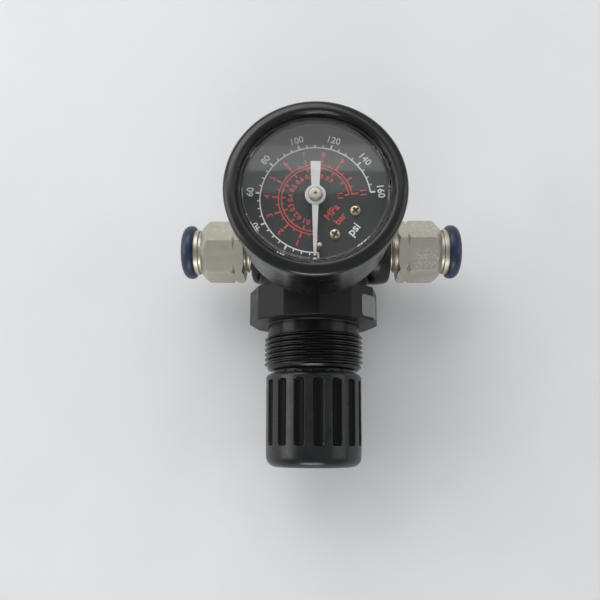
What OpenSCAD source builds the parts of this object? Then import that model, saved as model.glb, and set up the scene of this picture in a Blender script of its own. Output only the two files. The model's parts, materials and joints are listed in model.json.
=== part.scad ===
// Miniature relieving air pressure regulator: die-cast body, plastic bonnet with a panel
// thread, push-to-lock knob, back-connected pressure gauge and two push-in tube fittings.
// Millimetres. It lies on its back: +Z leaves the gauge dial, +X runs from inlet to outlet
// and the knob points to -Y. The origin is on the table under the middle of the part.
// Threads are plain cylinders at their outside diameter.

/* [Layout] */
// Height of the valve and port axes above the table
axis_h = 19.65; // [19:0.05:20.5]
// Distance from the valve axis to the plane midway between the two ports
port_shift = 2.2; // [0:0.1:2.6]
// Distance from the panel shoulder to the port axis
port_drop = 23.75; // [23.5:0.05:24.5]
// Distance from the valve axis to the gauge axis, towards the outlet
gauge_shift = 0.5; // [0:0.1:1]
// Turn of the whole gauge about its stem, anticlockwise from upright
gauge_turn = 50; // [0:1:90]

/* [Body] */
// Radius of the round port and gauge bosses
boss_r = 10; // [9.6:0.1:10.4]
// Distance from the port mid-plane to each port face
boss_face = 21.4; // [20.9:0.1:21.8]
// Radius of the body barrel
barrel_r = 16.6; // [16:0.1:17.4]
// Depth of the bottom plug's end below the port axis
plug_end = 17.55; // [17.2:0.05:18.4]

/* [Bonnet] */
// Width across the twelve flats
flange_af = 38.05; // [37:0.05:39]
// Thickness of the flange
flange_t = 10.35; // [10:0.05:10.6]
// Outside radius of the panel thread
thread_r = 14.95; // [14.6:0.01:15]
// Radius of the plain neck under the thread
neck_r = 14.05; // [13.9:0.05:14.2]
// Radius of the spring bore
spring_bore_r = 10.2; // [10:0.1:10.6]

/* [Knob] */
// Outside radius of the knob
knob_r = 14.4; // [14:0.1:15]
// Distance from the panel shoulder to the knob's rim
knob_rim = 15.2; // [14.5:0.1:15.4]
// Distance from the panel shoulder to the knob's end
knob_end = 42.2; // [42:0.1:44]
// Number of grip flutes
flutes = 16; // [8:1:24]

/* [Fittings] */
// Width across the flats of the fitting's hexagon
hex_af = 17; // [17:0.1:18]
// Radius of the tube bore
tube_bore_r = 4.85; // [4.8:0.01:4.9]
// Radius of the release collet's flange
collet_r = 8.5; // [8.2:0.1:9]
// Distance from the port mid-plane to the collet's end
collet_end = 43.3; // [43:0.1:44]

/* [Gauge] */
// Radius of the bezel
bezel_r = 21.9; // [21.6:0.1:22.2]
// Height of the bezel's front above the valve axis
bezel_front = 55.7; // [55.4:0.1:56]
// Radius of the case
case_r = 20.9; // [20.8:0.05:21]
// Radius of the opening in the bezel
window_r = 18.5; // [18:0.1:18.8]

/* [Hidden] */
$fn = 96;

e = 0.05;        // gap between parts that screw or press together
seam = 45;       // turns a revolved shape so that its first edge misses the others' corners
big = 60;        // longer than any cut needs
shoulder_y = (knob_end - port_drop - bezel_r) / 2; // the bezel and the knob reach furthest
port_y = shoulder_y + port_drop;
flange_tilt = -4;    // turn of the flange, so that no flat faces the gauge squarely
flange_r = flange_af / 2 / cos(15);
hex_turned_r = hex_af / sqrt(3) + 0.05;
body_top = -flange_t - 0.1;
bore_top = 27;       // roof of the spring bore
tower_r = 11.9;      // bonnet tower inside the knob
spigot_r = 15.4;     // body spigot inside the bonnet
rim_s = -3.6;        // where the diaphragm's rim sits
membrane_t = 1.1;
ring_t = 0.6;
chamber_r = 7.4;     // inlet chamber around the poppet
seat_s = 8.4 - port_drop; // top of the wall that holds the valve seat
pocket_r = 13.2;     // outlet pocket under the diaphragm
npt4_r = 6.6;        // 1/4 NPT thread
npt8_r = 4.85;       // 1/8 NPT thread
nut_s = 20;          // underside of the spring nut with the spring relaxed
nut_t = 4.5;
screw_r = 4;
hex_head_r = 4.9;
groove_w = 4.2;      // keyways that hold the spring nut
flute_r = 1.95;
flute_len = 19.1;
black = [0.10, 0.10, 0.105];
nickel = [0.66, 0.64, 0.58];
steel = [0.62, 0.63, 0.65];
brass = [0.78, 0.66, 0.36];
rubber = [0.07, 0.07, 0.07];
navy = [0.10, 0.15, 0.30];

// ---------- frames and shapes that repeat

// Local z is the distance from the panel shoulder towards the knob's end.
module on_valve() translate([-port_shift, shoulder_y, axis_h]) rotate([90, 0, 0]) children();

// Local z is the distance from the port mid-plane outwards, on the inlet or the outlet side.
module on_port(side) translate([0, port_y, axis_h]) rotate([0, side * 90, 0]) children();

// Local z is the height above the valve axis, on the gauge's axis.
module on_gauge() translate([gauge_shift - port_shift, port_y, axis_h])
    rotate([0, 0, gauge_turn]) children();

module ring(r_out, r_in, low, high)
    translate([0, 0, low]) difference() {
        cylinder(r = r_out, h = high - low);
        translate([0, 0, -1]) cylinder(r = r_in, h = high - low + 2);
    }

module disc(r, low, high) translate([0, 0, low]) cylinder(r = r, h = high - low);

module hex_bar(af, low, high) translate([0, 0, low]) cylinder(r = af / sqrt(3), h = high - low, $fn = 6);

// Solid of revolution that chamfers both ends of a bar
module end_cut(r, low, high, low_drop, low_rise, high_drop, high_rise)
    rotate_extrude() polygon([
        [0, low], [r - low_drop, low], [r, low + low_rise],
        [r, high - high_rise], [r - high_drop, high], [0, high]
    ]);

module o_ring(r, section) rotate_extrude() translate([r, 0]) circle(r = section, $fn = 24);

// Points of one ring of a helical wire
function wire_ring(a, r, wire, z, sides) = [
    for (k = [0 : sides - 1]) let (b = 360 * k / sides)
        [(r + wire * cos(b)) * cos(a), (r + wire * cos(b)) * sin(a), z + wire * sin(b)]
];

// Round wire wound on radius r from height low to height high
module coil(r, wire, low, high, turns) {
    sides = 8;
    steps = 20;
    count = turns * steps;
    points = [
        for (i = [0 : count])
            each wire_ring(360 * i / steps, r, wire, low + wire + (high - low - 2 * wire) * i / count, sides)
    ];
    walls = [
        for (i = [0 : count - 1]) for (k = [0 : sides - 1]) let (n = (k + 1) % sides)
            [i * sides + k, i * sides + n, (i + 1) * sides + n, (i + 1) * sides + k]
    ];
    first = [for (k = [0 : sides - 1]) sides - 1 - k];
    last = [for (k = [0 : sides - 1]) count * sides + k];
    polyhedron(points, concat([first], walls, [last]), convexity = 10);
}

// ---------- body and valve

module body() color(black) difference() {
    union() {
        on_valve() {
            disc(spigot_r, body_top - 1, rim_s);
            rotate([0, 0, seam]) rotate_extrude() polygon([
                [0, -port_drop - 14.75], [11, -port_drop - 14.75], [12, -port_drop - 13.75],
                [12, -port_drop - 12.5], [barrel_r - 1, -port_drop - 11], [barrel_r, -port_drop - 10],
                [barrel_r, body_top], [0, body_top]
            ]);
        }
        for (side = [-1, 1]) on_port(side)
            rotate([0, 0, seam]) rotate_extrude() polygon([
                [0, 0], [boss_r + 0.3, 0], [boss_r + 0.3, boss_face - 3.5], [boss_r, boss_face - 1.5],
                [boss_r - 0.45, boss_face - 0.45], [boss_r - 1.3, boss_face], [0, boss_face]
            ]);
        translate([-port_shift, port_y, 0]) rotate([0, 0, seam]) rotate_extrude() polygon([
            [0, 0], [boss_r - 1, 0], [boss_r, 1], [boss_r, 2 * axis_h - 1],
            [boss_r - 1, 2 * axis_h], [0, 2 * axis_h]
        ]);
    }
    on_valve() {
        disc(pocket_r, rim_s - 2.8, 0);
        disc(5.6, seat_s - 3, rim_s);
        disc(4, seat_s - 4, rim_s);
        disc(chamber_r, -port_drop - 9, seat_s - 3.6);
        disc(8.6, -port_drop - 20, -port_drop - 8.5);
        for (side = [-1, 1]) translate([0, side * 11.7, 0]) disc(1.4, -port_drop, rim_s - 2);
        translate([11.2, 0, 0]) disc(1.9, -port_drop, rim_s - 2);
    }
    on_port(-1) {
        disc(npt4_r + e, 11, big);
        disc(4.4, 0, 12);
    }
    on_port(1) {
        disc(npt4_r + e, 12, big);
        disc(3.4, 8, 13);
    }
    translate([-port_shift, port_y, 0]) disc(npt8_r + e, -1, axis_h - 10.5);
    on_gauge() disc(npt8_r + e, 10.5, big);
}

module rear_port_plug() color(steel) translate([-port_shift, port_y, 0]) difference() {
    rotate_extrude() polygon([
        [0, 0.35], [npt8_r - 0.4, 0.35], [npt8_r, 0.75], [npt8_r, 7], [npt8_r - 0.3, 7.3], [0, 7.3]
    ]);
    hex_bar(4.8, -1, 4);
}

module bottom_plug() color(black) on_valve() translate([0, 0, -port_drop]) difference() {
    union() {
        intersection() {
            hex_bar(19, -plug_end, -14.8);
            end_cut(10.8, -plug_end, -14.8, 1.2, 0.7, 0, 0);
        }
        disc(8.55, -14.8, -9.05);
    }
    disc(3.08, -15.5, 0);
    disc(5.3, -12.4, 0);
    ring(9.5, 7.05, -11.6, -10);
    translate([-4, -0.8, -big - plug_end + 1.4]) cube([8, 1.6, big]);
}

module bottom_plug_oring() color(rubber) on_valve() translate([0, 0, -port_drop - 10.8]) o_ring(7.8, 0.7);

module valve_seat() color(brass) on_valve() rotate_extrude() polygon([
    [2.6, seat_s - 4.05], [3.2, seat_s - 4.05], [3.95, seat_s - 3.2], [3.95, seat_s - 3],
    [5.55, seat_s - 3], [5.55, seat_s], [2.6, seat_s]
]);

// The poppet's stem reaches up through the seat to the relief seat and down into the plug.
module poppet() color(brass) on_valve() rotate_extrude() polygon([
    [0, -port_drop - 14], [3, -port_drop - 14], [3, -port_drop - 2.2], [5, -port_drop - 2.2],
    [5, seat_s - 5.6], [1.15, seat_s - 5.6], [1.15, -7.4], [1, -7.05], [0, -7.05]
]);

module poppet_seal() color(rubber) on_valve() ring(4.8, 1.2, seat_s - 5.6, seat_s - 4.1);

module valve_spring() color(steel) on_valve()
    coil(4.3, 0.45, -port_drop - 12.3, -port_drop - 2.3, 5);

module diaphragm() color(rubber) on_valve() rotate_extrude() polygon([
    [2.6, rim_s], [9.6, rim_s], [10.4, rim_s - 1], [11.8, rim_s - 1], [12.9, rim_s], [15.3, rim_s],
    [15.3, rim_s + membrane_t], [12.4, rim_s + membrane_t], [11.4, rim_s + 0.1],
    [10.8, rim_s + 0.1], [9.8, rim_s + membrane_t], [2.6, rim_s + membrane_t]
]);

module slip_ring() color("ivory") on_valve()
    ring(15.3, 12.5, rim_s + membrane_t, rim_s + membrane_t + ring_t);

module diaphragm_plate() color(steel) on_valve() rotate_extrude() polygon([
    [2.6, rim_s + membrane_t], [9.4, rim_s + membrane_t], [9.4, rim_s + 2.6], [7.2, rim_s + 2.6],
    [6.8, rim_s + 4.4], [2.6, rim_s + 4.4]
]);

// Riveted through the diaphragm and its plate, with the vent that the poppet's stem closes
module relief_seat() color(brass) on_valve() difference() {
    rotate_extrude() polygon([
        [0, rim_s - 3.4], [3.4, rim_s - 3.4], [5, rim_s - 2], [5, rim_s], [2.55, rim_s],
        [2.55, rim_s + 4.6], [0, rim_s + 4.6]
    ]);
    disc(0.8, rim_s - 5, rim_s + 6);
}

// ---------- bonnet, spring and knob

module bonnet() color(black) on_valve() difference() {
    union() {
        intersection() {
            rotate([0, 0, flange_tilt]) translate([0, 0, -flange_t])
                cylinder(r = flange_r, h = flange_t, $fn = 12);
            rotate([0, 0, 7]) end_cut(flange_r + 0.05, -flange_t - 0.01, 0.01, 0.5, 0.3, 0.4, 0.25);
        }
        rotate_extrude() polygon([
            [0, -1], [neck_r, -1], [neck_r, 3.2], [thread_r, 3.9], [thread_r, 12.4],
            [neck_r - 0.5, 14.05], [tower_r, 14.05], [tower_r, 28.6], [tower_r - 0.8, 29.4], [0, 29.4]
        ]);
    }
    disc(spigot_r + e, -flange_t - 1, rim_s + membrane_t + ring_t);
    disc(spring_bore_r, -4, bore_top);
    for (a = [0, 180]) rotate([0, 0, a]) translate([0, -groove_w / 2, 4]) cube([11.1, groove_w, bore_top - 4]);
    disc(screw_r + 0.06, 0, big);
}

// Small blank label wrapped over one flat of the flange and onto the next
module spec_label() color([0.82, 0.83, 0.84]) on_valve() difference() {
    intersection() {
        rotate([0, 0, flange_tilt]) translate([0, 0, -8.6])
            cylinder(r = flange_r + 0.13, h = 7.6, $fn = 12);
        rotate([0, 0, 30 + flange_tilt]) translate([10, -5.6, -7.4]) cube([15, 11.2, 7]);
    }
    rotate([0, 0, flange_tilt]) translate([0, 0, -20]) cylinder(r = flange_r + 0.01, h = 30, $fn = 12);
}

module range_spring() color(steel) on_valve() coil(8.4, 0.9, rim_s + 2.65, nut_s - 0.05, 7);

module spring_nut() color(brass) on_valve() difference() {
    union() {
        disc(spring_bore_r - 0.3, nut_s, nut_s + nut_t);
        for (a = [0, 180]) rotate([0, 0, a])
            translate([0, -groove_w / 2 + 0.15, nut_s]) cube([10.8, groove_w - 0.3, nut_t]);
    }
    disc(screw_r + 0.08, 0, big);
}

module thrust_washer() color(steel) on_valve() ring(7.4, screw_r + 0.1, 26.3, 26.95);

module adjusting_screw() color(steel) on_valve() union() {
    disc(screw_r - 0.5, 5.5, 6);
    disc(screw_r, 6, 24.8);
    disc(7, 24.8, 26.25);
    disc(screw_r, 26.25, 30.4);
    translate([0, 0, 30.4]) cylinder(r = hex_head_r, h = 7.6, $fn = 6);
}

module screw_clip() color(steel) on_valve() difference() {
    ring(6, screw_r + 0.03, 29.45, 30.2);
    translate([0, -1.6, 28]) cube([8, 3.2, 4]);
}

module knob() color(black) on_valve() difference() {
    rotate_extrude() polygon(concat(
        [[0, 31], [12.3, 31], [12.3, knob_rim], [knob_r - 0.5, knob_rim], [knob_r, knob_rim + 0.8],
         [knob_r - 0.15, knob_end - 6], [knob_r - 0.25, knob_end - 3]],
        [for (a = [15 : 15 : 90]) [knob_r - 3.25 + 3 * cos(a), knob_end - 3 + 2.6 * sin(a)]],
        [[0, knob_end]]
    ));
    for (i = [0 : flutes - 1]) rotate([0, 0, 360 / flutes * (i + 0.75)])
        translate([knob_r + 0.95, 0, knob_rim + 1.8]) cylinder(r = flute_r, h = flute_len, $fn = 24);
    ring(12, 7.4, 30, 39.2);
    translate([0, 0, 30]) cylinder(r = hex_head_r + 0.2, h = 8.6, $fn = 6);
}

// ---------- push-in fittings, one shape for both sides

// The hexagon's turning profile chamfers both ends and cuts a small groove across its corners.
module fitting(side, roll) color(nickel) on_port(side) rotate([0, 0, roll]) difference() {
    union() {
        intersection() {
            hex_bar(hex_af, 23.8, 37.05);
            rotate([0, 0, seam]) rotate_extrude() polygon([
                [0, 23.7], [8.7, 23.7], [hex_turned_r, 24.3], [hex_turned_r, 26.2], [8.75, 26.8],
                [hex_turned_r, 27.4], [hex_turned_r, 34.7], [7.5, 37.1], [0, 37.1]
            ]);
        }
        rotate_extrude() polygon([
            [0, 12.6], [npt4_r - 0.7, 12.6], [npt4_r - 0.2, 13.1], [npt4_r, 20.5],
            [npt4_r, 22.6], [npt4_r - 0.4, 23.9], [0, 23.9]
        ]);
    }
    disc(3.9, 0, 30);
    disc(tube_bore_r, 21.6, 30);
    disc(7.2, 27, 40);
}

module tube_seal(side) color(rubber) on_port(side) ring(7.15, tube_bore_r + 0.05, 27.05, 28.9);

// Spring-steel ring whose inner edge is slit into teeth
module grab_ring(side) color(steel) on_port(side) difference() {
    ring(7.15, tube_bore_r + 0.1, 29, 29.45);
    for (i = [0 : 11]) rotate([0, 0, 30 * i]) translate([0, -0.25, 28]) cube([6.3, 0.5, 3]);
}

module sleeve(side) color(nickel) on_port(side) rotate_extrude() polygon([
    [5.83, 29.55], [7.15, 29.55], [7.15, 36.9], [6.3, 37.1], [6.3, 38.05], [6.9, 38.05],
    [7.1, 38.25], [7.1, 40.5], [5.83, 40.5]
]);

module collet(side) color(navy) on_port(side) rotate_extrude() polygon([
    [tube_bore_r, 30.6], [5.1, 30.6], [5.75, 31.6], [5.75, 41.8], [7.3, 41.8], [7.3, 39.4],
    [collet_r - 0.5, 39.4], [collet_r - 0.1, 39.8], [collet_r, 40.5], [collet_r - 0.1, 41.2],
    [collet_r - 0.55, 42.2], [collet_r - 1.35, 42.9], [collet_r - 2.4, collet_end],
    [tube_bore_r + 0.6, collet_end], [tube_bore_r, collet_end - 0.6]
]);

module inlet_fitting() fitting(-1, 6);
module inlet_seal() tube_seal(-1);
module inlet_grab_ring() grab_ring(-1);
module inlet_sleeve() sleeve(-1);
module inlet_collet() collet(-1);
module outlet_fitting() fitting(1, 49);
module outlet_seal() tube_seal(1);
module outlet_grab_ring() grab_ring(1);
module outlet_sleeve() sleeve(1);
module outlet_collet() collet(1);

// ---------- gauge, with heights above the valve axis

case_back = 28.6;
case_top = 51.8;
lens_low = case_top + 0.6;
lens_top = lens_low + 1.4;
bezel_low = 50.8;
case_screw_x = 10.3;
dial_z = 45.6;
pinion_teeth = 10;
sector_teeth = 65;     // teeth that a whole wheel of the sector's size would have
gear_module = 0.3;
pinion_r = gear_module * pinion_teeth / 2;
sector_r = gear_module * sector_teeth / 2;
sector_y = -pinion_r - sector_r;
tube_r = 15.2;         // mean radius of the Bourdon tube
tube_start = -100;
tube_stop = -371;
tail_pin = [4 * cos(-70), sector_y + 4 * sin(-70)];
tip_pin = [12.2, -5];
post_at = [[5.5, 1.5], [-5.5, 1.5], [-6.2, -11.5]];
dial_screw_at = [[-3.96, -9.6], [3.96, -9.6]];
rest_turn = 219.5;     // the needle's direction at rest, in the dial's own frame
stop_turn = 224.5;
pointer_z = 48.3;
needle_len = 15.3;

function arc(r, from, to, steps) = [
    for (i = [0 : steps]) let (a = from + (to - from) * i / steps) [r * cos(a), r * sin(a)]
];

function polar(r, a) = [r * cos(a), r * sin(a)];

// Outline of one slim tooth centred on direction a of a wheel with pitch radius r
function tooth(r, a) = let (
    root = r - 1.2 * gear_module,
    tip = r + 0.9 * gear_module,
    root_half = 0.32 / root * 180 / PI,
    tip_half = 0.09 / tip * 180 / PI
) [polar(root, a - root_half), polar(tip, a - tip_half), polar(tip, a + tip_half), polar(root, a + root_half)];

// Outline of a flat bar between two points, with an eye at its far end
module bar(from, to, width) {
    run = to - from;
    translate(from) rotate(atan2(run[1], run[0])) translate([0, -width / 2]) square([norm(run), width]);
    translate(to) circle(d = width + 0.4);
}

module gauge_stem() color(brass) on_gauge() difference() {
    union() {
        rotate_extrude() polygon([
            [0, 12.4], [npt8_r - 0.6, 12.4], [npt8_r - 0.2, 12.9], [npt8_r, 19], [npt8_r, 20.4],
            [npt8_r - 0.4, 21.4], [0, 21.4]
        ]);
        intersection() {
            hex_bar(14, 21.4, case_back - e);
            rotate([0, 0, 7]) end_cut(8.2, 21.39, case_back, 0.9, 0.5, 0.9, 0.5);
        }
        disc(5.2, case_back - 1, case_back + 1.5);
        translate([-12, -4, case_back + 0.95]) cube([24, 8, 3]);
        translate([-4, -16.2, case_back + 0.95]) cube([8, 14, 3]);
        rotate([0, 0, tube_start]) translate([14.1, 0.02, case_back + 3.9]) cube([2.3, 5.2, 6.4]);
    }
    disc(1.6, 0, case_back + 2);
    disc(2.5, 0, 16);
    for (side = [-1, 1]) translate([side * case_screw_x, 0, 0]) disc(0.9, 20, 40);
}

module gauge_restrictor() color(steel) on_gauge() ring(2.45, 0.4, 13.4, 15.9);

module gauge_case() color(black) on_gauge() difference() {
    rotate_extrude() polygon(concat(
        [[5.25, case_back], [case_r - 2.2, case_back]],
        [for (a = [-75 : 15 : 0]) [case_r - 2.2 + 2.2 * cos(a), case_back + 2.2 + 2.2 * sin(a)]],
        [[case_r, case_top], [case_r - 0.9, case_top], [case_r - 0.9, case_back + 2.2],
         [case_r - 2.2, case_back + 0.9], [5.25, case_back + 0.9]]
    ));
    for (side = [-1, 1]) translate([side * case_screw_x, 0, 0]) disc(0.9, 20, 40);
}

// Two screws hold the case to the stem's cross bar from behind.
module case_screws() color(steel) on_gauge()
    for (side = [-1, 1]) translate([side * case_screw_x, 0, 0]) difference() {
        union() {
            disc(1.45, case_back - 1, case_back - 0.02);
            disc(0.85, case_back - 0.1, case_back + 2.6);
        }
        translate([-2, -0.2, case_back - 1.5]) cube([4, 0.4, 0.9]);
    }

module bourdon_tube() color(brass) on_gauge() translate([0, 0, 34]) linear_extrude(4.6)
    polygon(concat(arc(tube_r + 0.6, tube_start, tube_stop, 60), arc(tube_r - 0.6, tube_stop, tube_start, 60)));

module bourdon_tip() color(brass) on_gauge() {
    rotate([0, 0, tube_stop - 9]) translate([tube_r - 1.1, 0, 34]) cube([1.9, 2.3, 4.6]);
    translate([0, 0, 35.2]) linear_extrude(2.2) bar(polar(tube_r - 0.4, tube_stop - 5), tip_pin, 1.4);
    translate([tip_pin[0], tip_pin[1], 0]) disc(0.45, 35.2, 40);
}

module plate_outline() difference() {
    intersection() {
        circle(r = 13.9);
        translate([-7.2, -13.6]) square([14.4, 17]);
    }
    circle(r = 0.58);
    translate([0, sector_y]) circle(r = 0.68);
}

module movement_back_plate() color(brass) on_gauge()
    translate([0, 0, 36.8]) linear_extrude(0.9) plate_outline();

// Turned posts: two under the movement and three between its plates
module movement_pillars() color(brass) on_gauge() {
    for (p = post_at) translate(p) disc(1, 37.72, 42.58);
    for (p = [post_at[0], post_at[1]]) translate(p) disc(1.3, case_back + 4, 36.78);
}

module movement_front_plate() color(brass) on_gauge() difference() {
    union() {
        translate([0, 0, 42.6]) linear_extrude(0.8) plate_outline();
        for (p = dial_screw_at) translate(p) disc(1.3, 43, dial_z - 0.52);
    }
    for (p = dial_screw_at) translate(p) disc(0.72, 40, 50);
}

module sector_gear() color(brass) on_gauge() translate([0, sector_y, 0]) {
    translate([0, 0, 40]) linear_extrude(0.8) {
        polygon(concat(
            [[-0.9, 0], [0.9, 0]],
            [for (k = [-8 : 1]) each tooth(sector_r, 90 + k * 360 / sector_teeth)]
        ));
        circle(r = 2.1);
        bar([0, 0], tail_pin - [0, sector_y], 1.3);
    }
    disc(0.6, 37.02, 43.18);
    translate([tail_pin[0], tail_pin[1] - sector_y, 0]) disc(0.45, 39, 40.4);
}

module link_bar() color(steel) on_gauge() translate([0, 0, 39.2]) linear_extrude(0.6) difference() {
    bar(tail_pin, tip_pin, 1.5);
    translate(tail_pin) circle(d = 1.9);
    for (p = [tail_pin, tip_pin]) translate(p) circle(r = 0.53);
}

module pinion_arbor() color(steel) on_gauge() {
    disc(0.5, 36.9, pointer_z + 0.6);
    translate([0, 0, 39.9]) linear_extrude(1)
        polygon([for (k = [0 : pinion_teeth - 1]) each tooth(pinion_r, k * 360 / pinion_teeth)]);
    disc(0.85, 41.2, 42);
}

// Flat spiral between the arbor and the front plate
module hairspring() color(brass) on_gauge() translate([0, 0, 41.35]) linear_extrude(0.5) polygon(concat(
    [for (a = [0 : 15 : 1260]) polar(1 + a / 480, a)],
    [for (a = [1260 : -15 : 0]) polar(1.12 + a / 480, a)]
));

module dial() color(black) on_gauge() difference() {
    disc(case_r - 1.2, dial_z - 0.5, dial_z);
    disc(1.2, 40, 50);
    for (p = dial_screw_at) translate(p) disc(0.8, 40, 50);
}

module dial_screws() color(brass) on_gauge() for (p = dial_screw_at) translate(p) difference() {
    union() {
        disc(0.68, 43.2, dial_z + 0.1);
        disc(1.3, dial_z + 0.02, dial_z + 0.7);
    }
    rotate([0, 0, 20 * p[0]]) translate([-2, -0.2, dial_z + 0.35]) cube([4, 0.4, 1]);
}

module stop_pin() color(brass) on_gauge() translate(polar(12.8, stop_turn)) disc(0.6, dial_z + 0.02, 49);

module pointer() color("white") on_gauge() rotate([0, 0, rest_turn]) difference() {
    union() {
        translate([0, 0, pointer_z]) linear_extrude(0.4)
            polygon([[needle_len, -0.35], [needle_len, 0.35], [0, 0.85], [0, 1.05], [-8.8, 1.25], [-8.8, -1.25],
                     [0, -1.05], [0, -0.85]]);
        disc(2.55, pointer_z, pointer_z + 0.6);
    }
    disc(0.52, 40, 60);
}

module pointer_cap() color(steel) on_gauge() rotate_extrude() polygon([
    [0.35, pointer_z + 0.62], [1.75, pointer_z + 0.62], [1.75, pointer_z + 1.2],
    [1.4, pointer_z + 1.55], [0.35, pointer_z + 1.6]
]);

module lens() color([0.85, 0.9, 0.92, 0.35]) on_gauge() disc(case_r - 0.05, lens_low, lens_top);

module lens_gasket() color(rubber) on_gauge() ring(case_r, case_r - 1.6, case_top + 0.02, lens_low - 0.02);

module bezel() color(black) on_gauge() rotate_extrude() polygon([
    [case_r + e, bezel_low], [bezel_r - 0.3, bezel_low], [bezel_r, bezel_low + 0.3],
    [bezel_r, bezel_front - 1.4], [bezel_r - 0.4, bezel_front - 0.8], [window_r + 1.7, bezel_front - 0.1],
    [window_r + 1.1, bezel_front], [window_r + 0.4, bezel_front - 0.4], [window_r, bezel_front - 1.3],
    [window_r, lens_top + e], [case_r + e, lens_top + e]
]);

body();
rear_port_plug();
bottom_plug();
bottom_plug_oring();
valve_seat();
valve_spring();
poppet();
poppet_seal();
diaphragm();
slip_ring();
diaphragm_plate();
relief_seat();
bonnet();
spec_label();
range_spring();
spring_nut();
thrust_washer();
adjusting_screw();
screw_clip();
knob();
inlet_fitting();
inlet_seal();
inlet_grab_ring();
inlet_sleeve();
inlet_collet();
outlet_fitting();
outlet_seal();
outlet_grab_ring();
outlet_sleeve();
outlet_collet();
gauge_stem();
gauge_restrictor();
gauge_case();
case_screws();
bourdon_tube();
bourdon_tip();
movement_back_plate();
movement_pillars();
movement_front_plate();
sector_gear();
link_bar();
pinion_arbor();
hairspring();
dial();
dial_screws();
stop_pin();
pointer();
pointer_cap();
lens();
lens_gasket();
bezel();
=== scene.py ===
"""Looks for the air pressure regulator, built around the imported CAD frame.

Shapes are made in millimetres in the local frame of the axis that they turn about, then
placed in the frame's metres. Every local frame has its z along that axis.
"""

import json
import math

import bmesh
import bpy
import numpy as np
from mathutils import Matrix, Vector

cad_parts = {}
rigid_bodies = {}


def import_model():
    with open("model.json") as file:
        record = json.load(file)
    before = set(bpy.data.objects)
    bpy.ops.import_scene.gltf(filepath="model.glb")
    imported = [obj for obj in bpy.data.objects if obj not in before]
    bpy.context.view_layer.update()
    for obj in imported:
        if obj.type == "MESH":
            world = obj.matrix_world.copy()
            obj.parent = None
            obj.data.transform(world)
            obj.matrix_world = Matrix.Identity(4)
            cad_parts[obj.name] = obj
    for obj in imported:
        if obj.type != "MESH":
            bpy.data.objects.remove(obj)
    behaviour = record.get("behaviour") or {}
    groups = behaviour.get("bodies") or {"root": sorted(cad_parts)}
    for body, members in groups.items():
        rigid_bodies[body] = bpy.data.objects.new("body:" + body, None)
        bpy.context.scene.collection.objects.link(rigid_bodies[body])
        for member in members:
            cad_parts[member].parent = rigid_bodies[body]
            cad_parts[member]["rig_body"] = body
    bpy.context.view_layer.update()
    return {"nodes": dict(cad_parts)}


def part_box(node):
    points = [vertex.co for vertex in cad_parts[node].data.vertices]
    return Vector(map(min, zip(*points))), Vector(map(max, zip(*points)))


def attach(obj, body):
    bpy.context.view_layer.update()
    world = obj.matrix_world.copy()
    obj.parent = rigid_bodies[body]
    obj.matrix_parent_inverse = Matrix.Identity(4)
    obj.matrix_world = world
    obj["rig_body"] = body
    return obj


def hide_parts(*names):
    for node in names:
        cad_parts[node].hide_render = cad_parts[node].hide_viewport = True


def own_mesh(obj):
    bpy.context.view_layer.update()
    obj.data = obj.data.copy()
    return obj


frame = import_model()
MM = 0.001


def edge_of(node, side, axis):
    """Lowest (side 0) or highest (side 1) coordinate of a CAD node along x, y or z, in millimetres."""
    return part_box(node)[side]["xyz".index(axis)] / MM


def middle_of(node, axis):
    return (edge_of(node, 0, axis) + edge_of(node, 1, axis)) / 2


def axes(origin, x, y, z, turn=0.0):
    """Matrix from local millimetres to the frame's metres, turned about local z by turn degrees."""
    columns = [Vector(c).to_4d() for c in (x, y, z, origin)]
    for c in columns[:3]:
        c.w = 0
    place = Matrix(columns).transposed()
    return Matrix.Scale(MM, 4) @ place @ Matrix.Rotation(math.radians(turn), 4, "Z")


# ---------- sizes shared with the CAD, in millimetres

FLANGE_T = 10.35  # thickness of the bonnet's flange along the valve's axis
FLANGE_SIDES = 12
FLANGE_STEP = 360 / FLANGE_SIDES
FLANGE_HALF = 19.025  # half the width across the flange's flats
FLANGE_CORNER_R = FLANGE_HALF / math.cos(math.radians(FLANGE_STEP / 2))
FLANGE_TILT = -4  # turn of the flange's first corner, in degrees
THREAD_R = 14.95  # crest of the panel thread
NECK_R = 14.05  # plain neck next to the flange, and the root of the thread
TOWER_R = 11.9  # spring tower inside the knob
TOWER_END = 29.4  # distance of the tower's end from the flange
KNOB_R = 14.4
KNOB_RIM = 15.2  # distance of the knob's open end from the flange
FLUTES = 16
FLUTE_R = 1.95  # radius of the round cut that makes a flute
FLUTE_LENGTH = 19.1
WINDOW_R = 18.5  # opening of the gauge's bezel
HEX_ROLL = {-1: 6, 1: 49}  # turn of each fitting's hexagon, in degrees

VALVE_X = middle_of("bonnet", "x")
AXIS_Z = middle_of("knob", "z")
PORT_Y = middle_of("inlet_sleeve", "y")
SHOULDER_Y = edge_of("bonnet", 1, "y") - FLANGE_T
KNOB_END = SHOULDER_Y - edge_of("knob", 0, "y")
GAUGE_X = middle_of("bezel", "x")
GAUGE_TURN = 90 + math.degrees(
    math.atan2(middle_of("dial_screws", "y") - PORT_Y, middle_of("dial_screws", "x") - GAUGE_X)
)
DIAL_TOP = edge_of("dial", 1, "z") - AXIS_Z
LENS_LOW = edge_of("lens", 0, "z") - AXIS_Z
LENS_TOP = edge_of("lens", 1, "z") - AXIS_Z
BEZEL_LOW = edge_of("bezel", 0, "z") - AXIS_Z
BEZEL_TOP = edge_of("bezel", 1, "z") - AXIS_Z
BEZEL_R = (edge_of("bezel", 1, "x") - edge_of("bezel", 0, "x")) / 2
CASE_R = (edge_of("gauge_case", 1, "x") - edge_of("gauge_case", 0, "x")) / 2
CASE_LOW = edge_of("gauge_case", 0, "z") - AXIS_Z
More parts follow.
